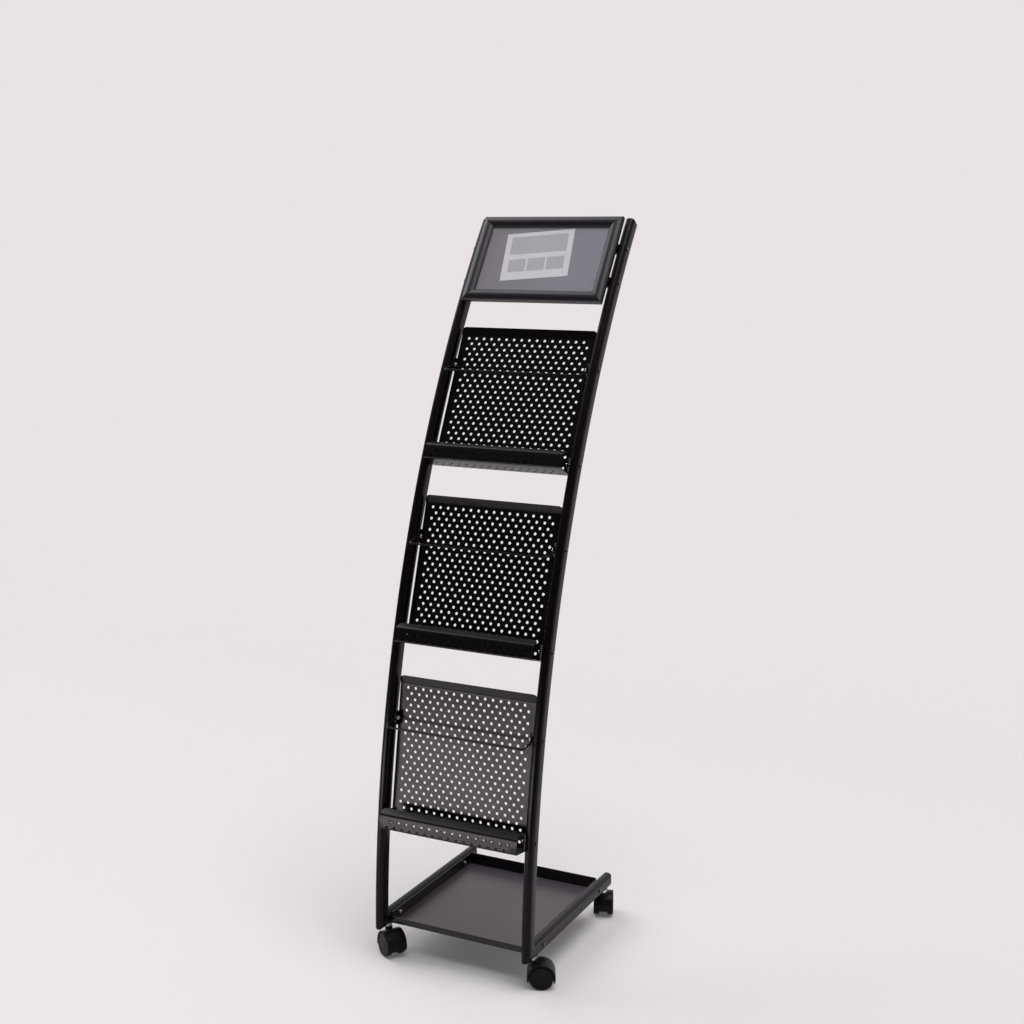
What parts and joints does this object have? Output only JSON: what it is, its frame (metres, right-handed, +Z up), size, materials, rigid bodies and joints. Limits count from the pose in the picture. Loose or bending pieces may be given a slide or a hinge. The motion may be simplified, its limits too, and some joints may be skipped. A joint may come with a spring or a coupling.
{
  "type": "periodical display rack",
  "caption": "Wheeled magazine rack: bowed uprights carry perforated trays with guard wires, a base tray and a snap-open sign frame.",
  "frame": {"origin": "on the floor, under the middle of the overall width and depth", "axes": "+Z up, front towards -Y, +X to the right of someone facing the rack"},
  "size_m": [0.4172, 0.4914, 1.466],
  "materials": {
    "black_powder_coat": "satin powder coat",
    "black_plastic": "moulded",
    "caster_nylon": "moulded, slight gloss",
    "zinc_plate": "bright zinc plate",
    "sign_black": "black satin coat",
    "insert_grey": "matt card",
    "clear_cover": "clear film"
  },
  "bodies": {
    "frame": {"back_panel_lower": "black_powder_coat", "back_panel_middle": "black_powder_coat", "back_panel_upper": "black_powder_coat", "base_tray": "black_powder_coat", "caster_stem_front_left": "zinc_plate", "caster_stem_front_right": "zinc_plate", "caster_stem_rear_left": "zinc_plate", "caster_stem_rear_right": "zinc_plate", "pivot_bolt_lower_left": "zinc_plate", "pivot_bolt_lower_right": "zinc_plate", "pivot_bolt_middle_left": "zinc_plate", "pivot_bolt_middle_right": "zinc_plate", "pivot_bolt_upper_left": "zinc_plate", "pivot_bolt_upper_right": "zinc_plate", "rail_cap_left": "black_plastic", "rail_cap_right": "black_plastic", "side_frame_left": "black_powder_coat", "side_frame_right": "black_powder_coat", "sign_back_plate": "sign_black", "sign_base": "sign_black", "sign_bracket_lower_left": "sign_black", "sign_bracket_lower_right": "sign_black", "sign_bracket_upper_left": "sign_black", "sign_bracket_upper_right": "sign_black", "sign_cover_sheet": "clear_cover", "sign_insert": "insert_grey", "snap_spring_bottom": "zinc_plate", "snap_spring_left": "zinc_plate", "snap_spring_right": "zinc_plate", "snap_spring_top": "zinc_plate", "top_cap_left": "black_plastic", "top_cap_right": "black_plastic", "tray_lower": "black_powder_coat", "tray_middle": "black_powder_coat", "tray_upper": "black_powder_coat"},
    "guard_wire_lower": {"guard_wire_lower": "black_powder_coat"},
    "guard_wire_middle": {"guard_wire_middle": "black_powder_coat"},
    "guard_wire_upper": {"guard_wire_upper": "black_powder_coat"},
    "snap_rail_top": {"snap_rail_top": "sign_black"},
    "snap_rail_bottom": {"snap_rail_bottom": "sign_black"},
    "snap_rail_left": {"snap_rail_left": "sign_black"},
    "snap_rail_right": {"snap_rail_right": "sign_black"},
    "caster_front_right": {"caster_hood_front_right": "caster_nylon", "caster_axle_front_right": "zinc_plate"},
    "wheel_front_right_a": {"caster_wheel_front_right_a": "caster_nylon"},
    "wheel_front_right_b": {"caster_wheel_front_right_b": "caster_nylon"},
    "caster_front_left": {"caster_hood_front_left": "caster_nylon", "caster_axle_front_left": "zinc_plate"},
    "wheel_front_left_a": {"caster_wheel_front_left_a": "caster_nylon"},
    "wheel_front_left_b": {"caster_wheel_front_left_b": "caster_nylon"},
    "caster_rear_right": {"caster_hood_rear_right": "caster_nylon", "caster_axle_rear_right": "zinc_plate"},
    "wheel_rear_right_a": {"caster_wheel_rear_right_a": "caster_nylon"},
    "wheel_rear_right_b": {"caster_wheel_rear_right_b": "caster_nylon"},
    "caster_rear_left": {"caster_hood_rear_left": "caster_nylon", "caster_axle_rear_left": "zinc_plate"},
    "wheel_rear_left_a": {"caster_wheel_rear_left_a": "caster_nylon"},
    "wheel_rear_left_b": {"caster_wheel_rear_left_b": "caster_nylon"}
  },
  "joints": [
    {"name": "swivel_front_right", "type": "hinge", "parent": "frame", "child": "caster_front_right", "pos_m": [0.1615, -0.18893, 0.0542], "axis": [0, 0, 1], "continuous": true},
    {"name": "spin_front_right_a", "type": "hinge", "parent": "caster_front_right", "child": "wheel_front_right_a", "pos_m": [0.17505, -0.1825, 0.0235], "axis": [-0.4289, 0.9033, 0], "continuous": true},
    {"name": "spin_front_right_b", "type": "hinge", "parent": "caster_front_right", "child": "wheel_front_right_b", "pos_m": [0.17505, -0.1825, 0.0235], "axis": [-0.4289, 0.9033, 0], "continuous": true},
    {"name": "swivel_front_left", "type": "hinge", "parent": "frame", "child": "caster_front_left", "pos_m": [-0.1615, -0.18893, 0.0542], "axis": [0, 0, 1], "continuous": true},
    {"name": "spin_front_left_a", "type": "hinge", "parent": "caster_front_left", "child": "wheel_front_left_a", "pos_m": [-0.14906, -0.19732, 0.0235], "axis": [0.5592, 0.829, 0], "continuous": true},
    {"name": "spin_front_left_b", "type": "hinge", "parent": "caster_front_left", "child": "wheel_front_left_b", "pos_m": [-0.14906, -0.19732, 0.0235], "axis": [0.5592, 0.829, 0], "continuous": true},
    {"name": "swivel_rear_right", "type": "hinge", "parent": "frame", "child": "caster_rear_right", "pos_m": [0.1615, 0.15807, 0.0542], "axis": [0, 0, 1], "continuous": true},
    {"name": "spin_rear_right_a", "type": "hinge", "parent": "caster_rear_right", "child": "wheel_rear_right_a", "pos_m": [0.15578, 0.17194, 0.0235], "axis": [-0.9245, -0.3811, 0], "continuous": true},
    {"name": "spin_rear_right_b", "type": "hinge", "parent": "caster_rear_right", "child": "wheel_rear_right_b", "pos_m": [0.15578, 0.17194, 0.0235], "axis": [-0.9245, -0.3811, 0], "continuous": true},
    {"name": "swivel_rear_left", "type": "hinge", "parent": "frame", "child": "caster_rear_left", "pos_m": [-0.1615, 0.15807, 0.0542], "axis": [0, 0, 1], "continuous": true},
    {"name": "spin_rear_left_a", "type": "hinge", "parent": "caster_rear_left", "child": "wheel_rear_left_a", "pos_m": [-0.17505, 0.1645, 0.0235], "axis": [-0.4289, -0.9033, 0], "continuous": true},
    {"name": "spin_rear_left_b", "type": "hinge", "parent": "caster_rear_left", "child": "wheel_rear_left_b", "pos_m": [-0.17505, 0.1645, 0.0235], "axis": [-0.4289, -0.9033, 0], "continuous": true},
    {"name": "open_top", "type": "hinge", "parent": "frame", "child": "snap_rail_top", "pos_m": [0, 0.20798, 1.46523], "axis": [-1, 0, 0], "range_deg": [0, 95]},
    {"name": "open_bottom", "type": "hinge", "parent": "frame", "child": "snap_rail_bottom", "pos_m": [0, 0.09821, 1.29685], "axis": [1, 0, 0], "range_deg": [0, 95]},
    {"name": "open_left", "type": "hinge", "parent": "frame", "child": "snap_rail_left", "pos_m": [-0.155, 0.1531, 1.38104], "axis": [0, -0.5461, -0.8377], "range_deg": [0, 95]},
    {"name": "open_right", "type": "hinge", "parent": "frame", "child": "snap_rail_right", "pos_m": [0.155, 0.1531, 1.38104], "axis": [0, 0.5461, 0.8377], "range_deg": [0, 95]},
    {"name": "swing_lower", "type": "hinge", "parent": "frame", "child": "guard_wire_lower", "pos_m": [0, -0.17658, 0.48801], "axis": [-1, 0, 0], "range_deg": [-45, 95]},
    {"name": "swing_middle", "type": "hinge", "parent": "frame", "child": "guard_wire_middle", "pos_m": [0, -0.0856, 0.83672], "axis": [-1, 0, 0], "range_deg": [-45, 95]},
    {"name": "swing_upper", "type": "hinge", "parent": "frame", "child": "guard_wire_upper", "pos_m": [0, 0.05689, 1.16775], "axis": [-1, 0, 0], "range_deg": [-45, 95]}
  ]
}
